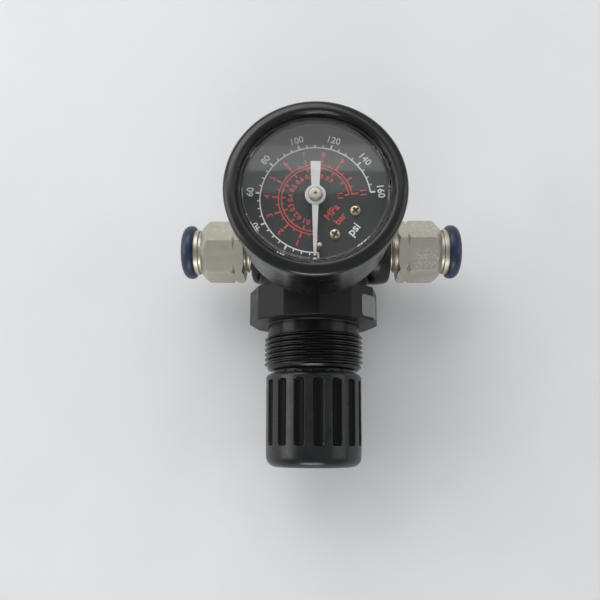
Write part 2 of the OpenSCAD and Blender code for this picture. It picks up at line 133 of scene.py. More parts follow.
CASE_TOP = edge_of("gauge_case", 1, "z") - AXIS_Z

VALVE = axes((VALVE_X, SHOULDER_Y, AXIS_Z), (1, 0, 0), (0, 0, 1), (0, -1, 0))
PORT = {
    side: axes((0, PORT_Y, AXIS_Z), (0, 0, -side), (0, 1, 0), (side, 0, 0)) for side in (-1, 1)
}
GAUGE = axes((GAUGE_X, PORT_Y, AXIS_Z), (1, 0, 0), (0, 1, 0), (0, 0, 1), GAUGE_TURN)

# ---------- camera, light and floor

CAMERA_PLACE = Vector((-1.98, -36.85, 217.77)) * MM
CAMERA_DIRECTION = Vector((-0.022, 0.214, -0.977)).normalized()
CAMERA_UP = Vector((-0.004, 1, 0))  # almost level
FOCAL_LENGTH = 39
SENSOR_WIDTH = 36

LIGHT_TARGET = Vector((0, 0, 0.04))  # middle of the object, in metres
# Each panel's place, width, depth and power, in metres and watts.
PANELS = {
    "panel_back": ((-0.45, 0.95, 0.85), 1.3, 0.7, 7.4),
    "panel_fringe": ((0.0, 0.435, 1.0), 1.3, 0.08, 0.17),
    "panel_above": ((0.0, 0.625, 1.0), 1.3, 0.36, 1.35),
    "panel_left": ((-0.95, 0.1, 0.45), 0.8, 0.6, 3.4),
    "panel_right": ((0.95, 0.1, 0.5), 0.8, 0.6, 1.5),
    "panel_knob": ((-0.05, -0.9, 0.3), 0.5, 0.25, 3),
}
SKY_COLOR = (0.93, 0.97, 1.0, 1)
SKY_STRENGTH = 0.38
FLOOR_HALF = 3.0  # metres


def make_camera():
    data = bpy.data.cameras.new("camera")
    data.sensor_width = SENSOR_WIDTH
    data.lens = FOCAL_LENGTH
    data.clip_start = 0.01
    camera = bpy.data.objects.new("camera", data)
    bpy.context.scene.collection.objects.link(camera)
    right = CAMERA_DIRECTION.cross(CAMERA_UP).normalized()
    up = right.cross(CAMERA_DIRECTION)
    turn = Matrix((right, up, -CAMERA_DIRECTION)).transposed().to_4x4()
    camera.matrix_world = Matrix.Translation(CAMERA_PLACE) @ turn
    bpy.context.scene.camera = camera


def panel(name, place, width, depth, power):
    """Soft rectangular light that faces the middle of the object."""
    data = bpy.data.lights.new(name, "AREA")
    data.shape = "RECTANGLE"
    data.size = width
    data.size_y = depth
    data.energy = power
    light = bpy.data.objects.new(name, data)
    bpy.context.scene.collection.objects.link(light)
    light.location = place
    light.rotation_euler = (LIGHT_TARGET - Vector(place)).to_track_quat("-Z", "Y").to_euler()


def make_light():
    world = bpy.data.worlds.new("world")
    world.use_nodes = True
    background = world.node_tree.nodes["Background"]
    background.inputs["Color"].default_value = SKY_COLOR
    background.inputs["Strength"].default_value = SKY_STRENGTH
    bpy.context.scene.world = world
    bpy.context.scene.view_settings.view_transform = "Standard"
    for name, (place, width, depth, power) in PANELS.items():
        panel(name, place, width, depth, power)


def make_floor():
    far = FLOOR_HALF
    mesh = bpy.data.meshes.new("floor")
    corners = [(-far, -far, 0), (far, -far, 0), (far, far, 0), (-far, far, 0)]
    mesh.from_pydata(corners, [], [(0, 1, 2, 3)])
    paper = surface("floor_paper", (0.8, 0.8, 0.81), 0.6, mottle=(30, 0.02), grain=(0.8, 0.004))
    mesh.materials.append(paper)
    floor = bpy.data.objects.new("floor", mesh)
    bpy.context.scene.collection.objects.link(floor)


# ---------- materials


def surface(
    name,
    color,
    roughness,
    metallic=0.0,
    mottle=(4, 0.1),
    grain=(0.3, 0.006),
    swing=0.06,
    worn=None,
    specular=0.5,
):
    """Principled material whose colour, gloss and relief vary over the surface.

    mottle is the size in millimetres and the strength of the colour variation. grain is the size
    and the depth in millimetres of the fine relief. swing is how far the roughness varies.
    worn is the colour that shows along worn edges.
    """
    material = bpy.data.materials.new(name)
    material.use_nodes = True
    nodes = material.node_tree.nodes
    links = material.node_tree.links
    shader = nodes["Principled BSDF"]
    shader.inputs["Metallic"].default_value = metallic
    shader.inputs["Specular IOR Level"].default_value = specular
    place = nodes.new("ShaderNodeTexCoord").outputs["Object"]

    def noise(size, detail):
        texture = nodes.new("ShaderNodeTexNoise")
        texture.inputs["Scale"].default_value = 1 / (size * MM)
        texture.inputs["Detail"].default_value = detail
        links.new(place, texture.inputs["Vector"])
        return texture.outputs["Fac"]

    def stretch(value, low, high, to_low, to_high):
        node = nodes.new("ShaderNodeMapRange")
        for socket, number in zip(node.inputs[1:5], (low, high, to_low, to_high)):
            socket.default_value = number
        links.new(value, node.inputs["Value"])
        return node.outputs["Result"]

    def blend_color(factor, first, second):
        node = nodes.new("ShaderNodeMix")
        node.data_type = "RGBA"
        links.new(factor, node.inputs["Factor"])
        for socket, value in ((node.inputs["A"], first), (node.inputs["B"], second)):
            if isinstance(value, tuple):
                socket.default_value = (*value, 1)
            else:
                links.new(value, socket)
        return node.outputs["Result"]

    cloud = noise(mottle[0], 4)
    dark = tuple(c * (1 - mottle[1]) for c in color)
    light = tuple(min(1, c * (1 + mottle[1])) for c in color)
    tone = blend_color(stretch(cloud, 0.3, 0.7, 0, 1), dark, light)
    if worn:
        geometry = nodes.new("ShaderNodeNewGeometry")
        ridge = stretch(geometry.outputs["Pointiness"], 0.52, 0.6, 0, 0.8)
        patch = stretch(noise(mottle[0] / 3, 3), 0.45, 0.62, 0, 1)
        both = nodes.new("ShaderNodeMath")
        both.operation = "MULTIPLY"
        links.new(ridge, both.inputs[0])
        links.new(patch, both.inputs[1])
        tone = blend_color(both.outputs["Value"], tone, worn)
    links.new(tone, shader.inputs["Base Color"])
    fine = noise(grain[0], 3)
    gloss = stretch(cloud, 0.25, 0.75, max(0.02, roughness - swing), roughness + swing)
    links.new(gloss, shader.inputs["Roughness"])
    bump = nodes.new("ShaderNodeBump")
    bump.inputs["Distance"].default_value = grain[1] * MM
    bump.inputs["Strength"].default_value = 1
    links.new(fine, bump.inputs["Height"])
    links.new(bump.outputs["Normal"], shader.inputs["Normal"])
    return material


def clear_window(name):
    """Clear moulded plastic that lets lamps through to what it covers."""
    material = surface(name, (1, 1, 1), 0.02, mottle=(8, 0.01), grain=(9, 0.012), swing=0.01)
    nodes = material.node_tree.nodes
    links = material.node_tree.links
    shader = nodes["Principled BSDF"]
    shader.inputs["Transmission Weight"].default_value = 1
    shader.inputs["IOR"].default_value = 1.49
    path = nodes.new("ShaderNodeLightPath")
    through = nodes.new("ShaderNodeBsdfTransparent")
    mix = nodes.new("ShaderNodeMixShader")
    links.new(path.outputs["Is Shadow Ray"], mix.inputs["Fac"])
    links.new(shader.outputs["BSDF"], mix.inputs[1])
    links.new(through.outputs["BSDF"], mix.inputs[2])
    links.new(mix.outputs["Shader"], nodes["Material Output"].inputs["Surface"])
    return material


FINISHES = {
    "body_paint": dict(
        color=(0.006, 0.006, 0.0065),
        roughness=0.32,
        mottle=(5, 0.2),
        grain=(0.9, 0.012),
        worn=(0.05, 0.05, 0.05),
        specular=0.35,
    ),
    "bonnet_plastic": dict(
        color=(0.007, 0.007, 0.007), roughness=0.4, mottle=(4, 0.15), grain=(0.22, 0.012), specular=0.32
    ),
    "thread_plastic": dict(
        color=(0.004, 0.004, 0.004), roughness=0.24, mottle=(4, 0.15), grain=(0.5, 0.003), specular=0.3
    ),
    "knob_plastic": dict(
        color=(0.006, 0.0063, 0.0068),
        roughness=0.3,
        mottle=(3, 0.2),
        grain=(0.5, 0.006),
        swing=0.1,
        worn=(0.03, 0.03, 0.03),
    ),
    "plug_plastic": dict(color=(0.013, 0.013, 0.013), roughness=0.4, grain=(0.25, 0.01)),
    "rubber": dict(color=(0.012, 0.012, 0.012), roughness=0.65, grain=(0.2, 0.01)),
    "screw_brass": dict(
        color=(0.66, 0.57, 0.36), roughness=0.3, metallic=1, mottle=(1, 0.1), grain=(0.12, 0.002)
    ),
    "brass": dict(
        color=(0.72, 0.52, 0.22), roughness=0.28, metallic=1, mottle=(2, 0.1), grain=(0.12, 0.002)
    ),
    "cap_nickel": dict(
        color=(0.5, 0.46, 0.38), roughness=0.38, metallic=1, mottle=(1, 0.08), grain=(0.12, 0.002)
    ),
    "steel": dict(
        color=(0.55, 0.55, 0.56), roughness=0.3, metallic=1, mottle=(2, 0.08), grain=(0.12, 0.002)
    ),
    "plate_alloy": dict(color=(0.6, 0.6, 0.6), roughness=0.4, metallic=1, grain=(0.2, 0.004)),
    "slip_plastic": dict(color=(0.75, 0.72, 0.62), roughness=0.45, grain=(0.3, 0.004)),
    "label": dict(color=(0.24, 0.24, 0.235), roughness=0.5, mottle=(1.5, 0.08), grain=(0.15, 0.004)),
    "nickel": dict(
        color=(0.56, 0.525, 0.44),
        roughness=0.44,
        metallic=1,
        mottle=(2.2, 0.04),
        grain=(0.14, 0.002),
        swing=0.03,
        worn=(0.75, 0.72, 0.64),
    ),
    "collet_blue": dict(color=(0.012, 0.024, 0.06), roughness=0.4, mottle=(3, 0.12), grain=(0.4, 0.006)),
    "gauge_black": dict(
        color=(0.006, 0.006, 0.0055),
        roughness=0.25,
        mottle=(4, 0.15),
        grain=(1.2, 0.004),
        worn=(0.05, 0.05, 0.045),
    ),
    "dial_face": dict(color=(0.004, 0.004, 0.004), roughness=0.5, mottle=(2.5, 0.12), grain=(0.2, 0.004)),
    "pointer_white": dict(color=(0.58, 0.58, 0.57), roughness=0.4, mottle=(2, 0.03), grain=(0.25, 0.002)),
    "print_white": dict(color=(0.85, 0.87, 0.88), roughness=0.5, mottle=(0.8, 0.05), grain=(0.15, 0.001)),
    "print_red": dict(color=(0.6, 0.055, 0.045), roughness=0.5, mottle=(0.8, 0.12), grain=(0.15, 0.001)),
    # painted shade: darker, less reflective black for the faces inside the knob's flutes
    "knob_groove_painted_shade": dict(color=(0.004, 0.004, 0.0042), roughness=0.5, grain=(0.3, 0.006), specular=0.12),
    # painted shade: dark dull brown for the floor of each screw's cross recess
    "screw_recess_painted_shade": dict(color=(0.05, 0.04, 0.02), roughness=0.7, specular=0.1),
}


def make_materials():
    materials = {name: surface(name, **finish) for name, finish in FINISHES.items()}
    materials["lens_clear"] = clear_window("lens_clear")
    return materials


# ---------- meshes

WELD = 0.004  # points of a shell that are closer than this become one, in millimetres
CAD_WELD = 2e-6  # the same for a CAD mesh, in metres
SHARP = 30  # edges of a CAD shape that turn by more than this stay sharp, in degrees


def bevelled(points, size=0.15, steps=3, closed=True):
    """Outline (r, z) with each corner rounded.

    A third value in a point sets that corner's own size, and 0 keeps it sharp. A rounding takes
    less than half of each side that it meets.
    """
    out = []
    count = len(points)
    for i, point in enumerate(points):
        here = Vector(point[:2])
        reach = point[2] if len(point) > 2 else size
        if reach == 0 or (not closed and i in (0, count - 1)):
            out.append(tuple(here))
            continue
        before = Vector(points[i - 1][:2]) - here
        after = Vector(points[(i + 1) % count][:2]) - here
        reach = min(reach, before.length * 0.45, after.length * 0.45)
        start = here + before.normalized() * reach
        end = here + after.normalized() * reach
        for k in range(steps + 1):
            t = k / steps
            out.append(tuple(start.lerp(here, t).lerp(here.lerp(end, t), t)))
    return out


def even_angles(count):
    return np.arange(count) * 2 * math.pi / count


def ring(angles, radius, height):
    """Points of one ring. radius and height are numbers or arrays over the angles."""
    flat = np.ones(len(angles))
    return np.stack([radius * np.cos(angles), radius * np.sin(angles), height * flat], 1)


def loft(rings, shift=0):
    """Quads from each ring to the next. At the seam, ring k meets ring k + shift."""
    count = len(rings[0])
    faces = []
    for row in range(len(rings) - 1):
        for k in range(count):
            near = row * count + k
            far = near + 1
            if k == count - 1:
                far = (row + shift) * count
                if row + shift + 1 >= len(rings):
                    continue
            faces.append((near, far, far + count, near + count))
    return np.concatenate(rings), faces


def capped(rings):
    """Quads from each ring to the next, with one face over each end."""
    points, faces = loft(rings)
    count = len(rings[0])
    last = len(points) - count
    return points, faces + [tuple(reversed(range(count))), tuple(range(last, last + count))]


def turned(profile, count=128):
    """Shell of revolution from a closed outline, or from one that starts and ends on the axis."""
    angles = even_angles(count)
    outline = list(profile)
    if outline[0][0] > 0 or outline[-1][0] > 0:
        outline.append(outline[0])
    return loft([ring(angles, r, z) for r, z in outline])


# Along one pitch of a thread: the share of the pitch, and the share of the depth that stands there.
THREAD_FORM = [
    (0.0, 0),
    (0.12, 0),
    (0.18, 0.06),
    (0.42, 0.94),
    (0.46, 1),
    (0.54, 1),
    (0.58, 0.94),
    (0.82, 0.06),
    (0.88, 0),
]


def helix(angles, pitch, crest, depth, low, high, limit):
    """Screw thread from low to high. limit(z) is the largest radius there; the ends lie on it."""
    turns = math.ceil((high - low) / pitch) + 1
    rings = []
    for turn in range(-1, turns + 1):
        for phase, rise in THREAD_FORM:
            z = low + pitch * (turn + phase + angles / (2 * math.pi))
            z = np.clip(z, low, high)
            r = np.minimum(crest - depth + depth * rise, limit(z))
            r = np.where((z <= low) | (z >= high), limit(z), r)
            rings.append(ring(angles, r, z))
    return loft(rings, shift=len(THREAD_FORM))


def joined(*shells):
    """Several (points, faces) shells as one."""
    points, faces, base = [], [], 0
    for shell_points, shell_faces in shells:
        points.append(np.asarray(shell_points, float))
        faces += [tuple(base + i for i in face) for face in shell_faces]
        base += len(shell_points)
    return np.concatenate(points), faces


def piece(name, shell, place, node, material, replaces=None, sharp=40):
    """Finished piece from a local shell.

    It rides with the body of the CAD node and stands for the nodes in replaces, or for that node.
    """
    mesh = bpy.data.meshes.new(name)
    points, faces = shell
    mesh.from_pydata([tuple(p) for p in points], [], faces)
    solid = bmesh.new()
    solid.from_mesh(mesh)
    bmesh.ops.remove_doubles(solid, verts=solid.verts, dist=WELD)
    solid.transform(place)
    finish_mesh(solid, mesh, sharp)
    return put(name, mesh, node, material, replaces)


def finish_mesh(solid, mesh, sharp):
    """Writes a bmesh out with outward normals, smooth faces and sharp edges past an angle."""
    bmesh.ops.recalc_face_normals(solid, faces=solid.faces)
    for face in solid.faces:
        face.smooth = True
    for edge in solid.edges:
        edge.smooth = len(edge.link_faces) != 2 or edge.calc_face_angle() < math.radians(sharp)
    solid.to_mesh(mesh)
    solid.free()


def put(name, mesh, node, material, replaces=None):
    """Object from a mesh, with its material, its body and the nodes that it stands for."""
    obj = bpy.data.objects.new(name, mesh)
    bpy.context.scene.collection.objects.link(obj)
    mesh.materials.append(MATERIALS[material])
    weighted = obj.modifiers.new("normals", "WEIGHTED_NORMAL")
    weighted.keep_sharp = True
    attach(obj, frame["nodes"][node]["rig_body"])
    if replaces is None:
        replaces = [node]
    if replaces:
        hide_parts(*replaces)
    return obj


def cad_shell(node):
    """The CAD node's mesh as a welded bmesh in metres, with coplanar faces merged."""
    source = frame["nodes"][node].data
    mesh = bpy.data.meshes.new("welded")
    mesh.from_pydata([v.co for v in source.vertices], [], [p.vertices[:] for p in source.polygons])
    solid = bmesh.new()
    solid.from_mesh(mesh)
    bpy.data.meshes.remove(mesh)
    bmesh.ops.remove_doubles(solid, verts=solid.verts, dist=CAD_WELD)
    bmesh.ops.dissolve_limit(
        solid, angle_limit=math.radians(0.8), verts=solid.verts, edges=solid.edges
    )
    return solid


def softened(node, material, bevel=0.12, change=None, extra=None):
    """Copy of a CAD node with its edges bevelled.

    change edits the copy first. extra is one more shell for it, already in the frame's metres.
    """
    solid = cad_shell(node)
    if change:
        change(solid)
    mesh = bpy.data.meshes.new(node + "_part")
    finish_mesh(solid, mesh, SHARP)
    if extra:
        points, faces = extra
        added = bpy.data.meshes.new("added")
        added.from_pydata([tuple(p) for p in points], [], faces)
        both = bmesh.new()
        both.from_mesh(added)
        bmesh.ops.remove_doubles(both, verts=both.verts, dist=CAD_WELD)
        both.from_mesh(mesh)
        finish_mesh(both, mesh, SHARP)
    obj = put(node + "_part", mesh, node, material)
    edges = obj.modifiers.new("edges", "BEVEL")
    edges.limit_method = "ANGLE"
    edges.angle_limit = math.radians(28)
    edges.width = bevel * MM
    edges.segments = 2
    edges.harden_normals = True
    obj.modifiers.move(1, 0)
    return obj


# ---------- body, bonnet and knob


def make_body():
    """The casting. A voxel remesh joins the CAD body's walls with small fillets."""
    sharp_mesh = bpy.data.meshes.new("body_cast")
    finish_mesh(cad_shell("body"), sharp_mesh, SHARP)
    draft = bpy.data.objects.new("body_cast", sharp_mesh)
    bpy.context.scene.collection.objects.link(draft)
    remesh = draft.modifiers.new("cast", "REMESH")
    remesh.mode = "VOXEL"
    voxel = 0.32
    remesh.voxel_size = voxel * MM
    smooth = draft.modifiers.new("fillets", "SMOOTH")
    smooth.factor = 0.5
    smooth.iterations = 3
    evaluated = draft.evaluated_get(bpy.context.evaluated_depsgraph_get())
    mesh = bpy.data.meshes.new_from_object(evaluated)
    bpy.data.objects.remove(draft)
    mesh.name = "body_cast"
    mesh.materials.clear()
    mesh.shade_smooth()
    body = bpy.data.objects.new("body_cast", mesh)
    bpy.context.scene.collection.objects.link(body)
    mesh.materials.append(MATERIALS["body_paint"])
    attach(body, "housing")
    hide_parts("body")


def flange_angles():
    """Even samples, with a pair close to each corner of the flange instead of one on it."""
    corners = FLANGE_TILT + FLANGE_STEP * np.arange(FLANGE_SIDES)
    offsets = [-0.3, 0.3] + [1.5 * k for k in range(1, 20)]
    return np.radians(np.sort(np.concatenate([corners + o for o in offsets])))


def flat_sided(angles, inset=0.0):
    """Radius of the flange's outline, moved inwards by inset."""
    from_corner = np.mod(np.degrees(angles) - FLANGE_TILT, FLANGE_STEP)
    return (FLANGE_HALF - inset) / np.cos(np.radians(from_corner - FLANGE_STEP / 2))


def keyed_bore(angles, bore, reach, half_width):
    """Radius of a round bore with two opposite keyways."""
    side = np.abs(np.sin(angles)) * reach < half_width
    return np.where(side, reach, bore)


def splined(angles, count, root, crest):
    """Radius of a round shaft with count flat-topped teeth."""
    wave = np.cos(count * angles)
    return root + (crest - root) * np.clip(0.5 + 2 * wave, 0, 1)


def make_bonnet():
    """Flange, threaded neck and spring tower in one shell, with the bore and its keyways."""
    angles = flange_angles()
    spigot_bore = 15.45
    pocket = -1.9
    spring_bore = 10.2
    key_r = 11.1
    key_half = 2.1
    key_low = 4
    bore_top = 27
    screw_bore = 4.06
    pitch = 1.5
    thread_low = 3.2
    cone_start = 12.4
    cone_end = 14.05
    cone_end_r = 13.55
    cone_slope = (THREAD_R - cone_end_r) / (cone_end - cone_start)
    thread_high = cone_start + (THREAD_R - NECK_R) / cone_slope
    spline_count = 24
    spline_depth = 0.28
    spline_end = 17.6
    tower_edge = 0.8

    # From each face to the full outline: how far in the flats and the corners are, and how deep.
    low_edge = [(0.45, 0.6, 0), (0.2, 0.3, 0.08), (0.05, 0.06, 0.25), (0, 0, 0.45)]
    high_edge = [(0.45, 0.6, 0), (0.2, 0.3, 0.06), (0.05, 0.06, 0.22), (0, 0, 0.45)]

    def flange(inset, cut, s):
        return ring(angles, np.minimum(flat_sided(angles, inset), FLANGE_CORNER_R - cut), s)

    def circle(r, s):
        return ring(angles, r, s)

    def limit(z):
        lead_in = NECK_R + (z - thread_low) * 1.4
        cone = THREAD_R - (z - cone_start) * cone_slope
        return np.minimum(np.minimum(lead_in, cone), THREAD_R)

    neck = bevelled([(17, 0), (NECK_R, 0, 0.5), (NECK_R, thread_low)], closed=False)
    below = [
        circle(spigot_bore, -FLANGE_T + 0.3),
        circle(spigot_bore + 0.3, -FLANGE_T),
        *[flange(inset, cut, -FLANGE_T + depth) for inset, cut, depth in low_edge],
        *[flange(inset, cut, -depth) for inset, cut, depth in reversed(high_edge)],
        *[circle(r, s) for r, s in neck],
    ]
    thread_depth = THREAD_R - NECK_R + 0.02
    thread = helix(angles, pitch, THREAD_R, thread_depth, thread_low, thread_high, limit)
    cone = [
        (NECK_R, thread_high, 0),
        (cone_end_r, cone_end, 0.3),
        (TOWER_R, cone_end, 0.3),
        (TOWER_R, cone_end + 0.5, 0),
    ]
    top = [
        (TOWER_R, spline_end + 0.6, 0),
        (TOWER_R, TOWER_END - tower_edge, 0.2),
        (TOWER_R - tower_edge, TOWER_END, 0.2),
        (screw_bore, TOWER_END, 0.3),
        (screw_bore, bore_top, 0),
    ]
    keyed = keyed_bore(angles, spring_bore, key_r, key_half)
    spline = splined(angles, spline_count, TOWER_R, TOWER_R + spline_depth)
    above = [
        *[circle(r, s) for r, s in bevelled(cone, closed=False)],
        circle(spline, cone_end + 0.6),
        circle(spline, spline_end),
        *[circle(r, s) for r, s in bevelled(top, closed=False)],
        circle(keyed, bore_top),
        circle(keyed, key_low),
        circle(spring_bore, key_low),
        circle(spring_bore, pocket),
        circle(spigot_bore, pocket),
        circle(spigot_bore, -FLANGE_T + 0.3),
    ]
    shell = joined(loft(below), thread, loft(above))
    bonnet = piece("bonnet_moulding", shell, VALVE, "bonnet", "bonnet_plastic", sharp=32)
    bonnet.data.materials.append(MATERIALS["thread_plastic"])
    for face in bonnet.data.polygons:
        if face.center.y < (SHOULDER_Y - 0.2) * MM:
            face.material_index = 1


def soft_min(a, b, blend):
    """The smaller of a and b, with the corner between them rounded over blend."""
    share = np.clip(0.5 + 0.5 * (b - a) / blend, 0, 1)
    return b * (1 - share) + a * share - blend * share * (1 - share)


def make_knob():
    """Fluted cap with a domed corner. The faces inside the flutes are darker and reflect less, as painted
    shade.
    """
    step = 360 / FLUTES
    # Degrees from the middle of a flute, closest together where its edge is.
    near = [0, 1.5, 3, 4.4, 5.4, 6.0, 6.35, 6.6, 6.85, 7.3, 8.2, 9.6]
    offsets = np.array(sorted([-o for o in near if o] + near + [step / 2]))
    angles = np.radians(np.concatenate([step * (i + 0.75) + offsets for i in range(FLUTES)]))
    away = np.abs(np.mod(np.degrees(angles) / step - 0.25, 1) - 0.5) * step
    cutter_at = KNOB_R + 0.95  # distance of the cutter's axis from the knob's
    across = cutter_at * np.sin(np.radians(away))
    inside = np.clip(FLUTE_R**2 - across**2, 0, None)
    groove = cutter_at * np.cos(np.radians(away)) - np.sqrt(inside)
    groove = np.where(across < FLUTE_R, groove, KNOB_R + 2)
    flute_low = KNOB_RIM + 1.8
    flute_high = flute_low + FLUTE_LENGTH
    rim_end = KNOB_RIM + 0.8
    skirt_bore = 12.3
    dome = 3
    dimple = 0.3
    dimple_r = 9.4
    taper = [(rim_end, KNOB_R), (KNOB_END - 6, KNOB_R - 0.15), (KNOB_END - dome, KNOB_R - 0.25)]

    def wall(s):
        return np.interp(s, [p[0] for p in taper], [p[1] for p in taper])

    def fluted(s, share):
        cut = groove + (1 - share) * 1.4
        return ring(angles, soft_min(wall(s), cut, 0.07), s)

    def circle(r, s):
        return ring(angles, r, s)

    rim = [
        (skirt_bore, KNOB_RIM + 0.5, 0),
        (skirt_bore, KNOB_RIM, 0.25),
        (KNOB_R - 0.6, KNOB_RIM, 0.3),
        (KNOB_R, rim_end, 0.35),
        (wall(flute_low), flute_low, 0),
    ]
    # Distance along the flute, and the share of its depth there.
    start = [(0.0, 0), (0.06, 0.3), (0.18, 0.6), (0.36, 0.83), (0.6, 0.96), (0.9, 1)]
    flutes = [fluted(flute_low + run, share) for run, share in start]
    flutes += [fluted(s, 1) for s in np.linspace(flute_low + 2, flute_high - 1, 8)]
    flutes += [fluted(flute_high - run * 0.6, share) for run, share in reversed(start)]
    dome_r = KNOB_R - 0.25 - dome
    turns = [math.radians(a) for a in range(0, 91, 9)]
    corner = [(dome_r + dome * math.cos(a), KNOB_END - dome + dome * math.sin(a)) for a in turns]
    end = [
        corner[-1],
        (dimple_r, KNOB_END, 0.2),
        (dimple_r - dimple, KNOB_END - dimple, 0.2),
        (0, KNOB_END - dimple),
    ]
    boss_bore = 5.1
    boss_r = 7.4
    boss_low = 31
    roof = 39.2
    inner = [
        (0, roof - 0.6),
        (boss_bore, roof - 0.6),
        (boss_bore, boss_low),
        (boss_r, boss_low),
        (boss_r, roof),
        (12, roof),
        (12, boss_low),
        (skirt_bore, boss_low),
        (skirt_bore, KNOB_RIM + 0.5),
    ]
    rings = [circle(r, s) for r, s in bevelled(rim, closed=False)] + flutes
    rings += [circle(wall(s), s) for s in np.linspace(flute_high + 0.3, KNOB_END - dome, 4)]
    rings += [circle(r, s) for r, s in corner[1:] + bevelled(end, closed=False)[1:]]
    shell = joined(loft(rings), loft([circle(r, s) for r, s in inner]))
    knob = piece("knob_moulding", shell, VALVE, "knob", "knob_plastic", sharp=50)
    knob.data.materials.append(MATERIALS["knob_groove_painted_shade"])
    # the faces inside the flutes get the painted shade
    for face in knob.data.polygons:
        out = math.hypot(face.center.x / MM - VALVE_X, face.center.z / MM - AXIS_Z)
        along = SHOULDER_Y - face.center.y / MM
        if flute_low < along < flute_high and skirt_bore + 0.1 < out < wall(along) - 0.2:
            face.material_index = 1


def make_label():
    """Thin blank sticker with round corners, wrapped over the flange's corner."""
    half = 5.6
    low = -7.4
    high = -1.0
    corner = 1.1
    bend = 0.25  # half the width over which it turns from one flat to the next
    glue = 0.015
    thick = 0.12
    vertex = math.radians(FLANGE_STEP + FLANGE_TILT)
    apex = Vector((FLANGE_CORNER_R * math.cos(vertex), FLANGE_CORNER_R * math.sin(vertex)))
    rounded = -half + corner * (1 - np.cos(np.linspace(0, math.pi / 2, 7)))
    middle = np.linspace(-half + corner, half - corner, 25)[1:-1]
    rings = []
    for u in np.concatenate([rounded, middle, -rounded[::-1]]):
        over = max(0, abs(u) - (half - corner)) / corner
        trim = corner * (1 - math.sqrt(max(0, 1 - over**2)))
        lean = math.copysign(math.radians(FLANGE_STEP / 2), u)
        flat = vertex + lean
        facing = vertex + lean * min(1, abs(u) / bend)
        along = Vector((-math.sin(flat), math.cos(flat))) * u
        normal = Vector((math.cos(facing), math.sin(facing)))
        column = []
        s_low = low + trim
        s_high = high - trim
        for lift, s in ((glue, s_low), (glue, s_high), (thick, s_high), (thick, s_low)):
            spot = apex + along + normal * lift
            column.append((spot.x, spot.y, s))
        rings.append(np.array(column))
    piece("spec_label_sticker", capped(rings), VALVE, "spec_label", "label")


# ---------- fittings


def make_fitting(side, name):
    """One push-in fitting. side is -1 or 1, the direction of its port along x."""
    place = PORT[side] @ Matrix.Rotation(math.radians(HEX_ROLL[side]), 4, "Z")
    npt_pitch = 1.411
    npt_r = 6.6
    npt_depth = 0.85
    root = 5.7
    low = 12.7
    high = 23.7

    def shrink(solid):
        """Takes the CAD's plain threaded end in to the root, under the modelled thread."""
        back = place.inverted()
        for vert in solid.verts:
            local = back @ vert.co
            r = math.hypot(local.x, local.y)
            if low - 0.2 < local.z < high + 0.15 and root < r < npt_r + 0.1:
                local.x *= root / r
                local.y *= root / r
                vert.co = place @ local

    def limit(z):
        reach = [root - 0.3, npt_r - 0.35, npt_r, npt_r, root - 0.3]
        return np.interp(z, [low, low + 0.9, high - 3.2, high - 1.1, high], reach)

    angles = even_angles(96)
    core = ((root - 0.3, low), (5.2, low + 0.1), (5.2, high - 0.1), (root - 0.3, high))
    screw = helix(angles, npt_pitch, npt_r, npt_depth, low, high, limit)
    points, faces = joined(screw, loft([ring(angles, r, z) for r, z in core]))
    points = np.array([tuple(place @ Vector(p)) for p in points])
    softened(name + "_fitting", "nickel", 0.16, change=shrink, extra=(points, faces))

    sleeve_bore = 5.83
    sleeve_r = 7.15
    sleeve = [
        (sleeve_bore, 29.55),
        (sleeve_r, 29.55),
        (sleeve_r, 36.9),
        (6.3, 37.1, 0.05),
        (6.3, 38.05, 0.1),
        (sleeve_r - 0.05, 38.05, 0.25),
        (sleeve_r - 0.05, 40.5, 0.2),
        (sleeve_bore, 40.5),
    ]
    shell = turned(bevelled(sleeve, 0.15))
    piece(name + "_sleeve_turned", shell, PORT[side], name + "_sleeve", "nickel")
    tube_bore = 4.85
    shank_r = 5.75
    rim_low = 41.8
    collet = [
        (tube_bore, 30.6),
        (5.1, 30.6),
        (shank_r, 31.6),
        (shank_r, rim_low, 0.4),
        (7.3, rim_low, 0.4),
        (7.3, 39.4),
        (8.05, 39.4, 0.4),
        (8.45, 40.3, 0.5),
        (8.35, 41.6, 0.5),
        (7.6, 42.7, 0.6),
        (6.2, 43.3, 0.5),
        (5.5, 43.3, 0.3),
        (tube_bore, 42.6, 0.4),
    ]
    shell = turned(bevelled(collet, 0.12, 4))
    piece(name + "_collet_moulding", shell, PORT[side], name + "_collet", "collet_blue")
    for part, material in (("seal", "rubber"), ("grab_ring", "steel")):
        softened(f"{name}_{part}", material, 0.05)


# ---------- gauge

ZERO_ANGLE = 222.65  # direction of the zero mark in the dial's own frame
DEGREES_PER_PSI = 1.658
PSI_PER_BAR = 14.504
FULL_SCALE = 160
PRINT_T = 0.015  # thickness of the print on the dial
PSI_R = 13.76  # middle of the psi scale's line
BAR_R = 9.15  # the same for the bar scale
MPA_R = 8.4  # the same for the MPa scale
SHANK = 2.5  # length of a dial screw below its head


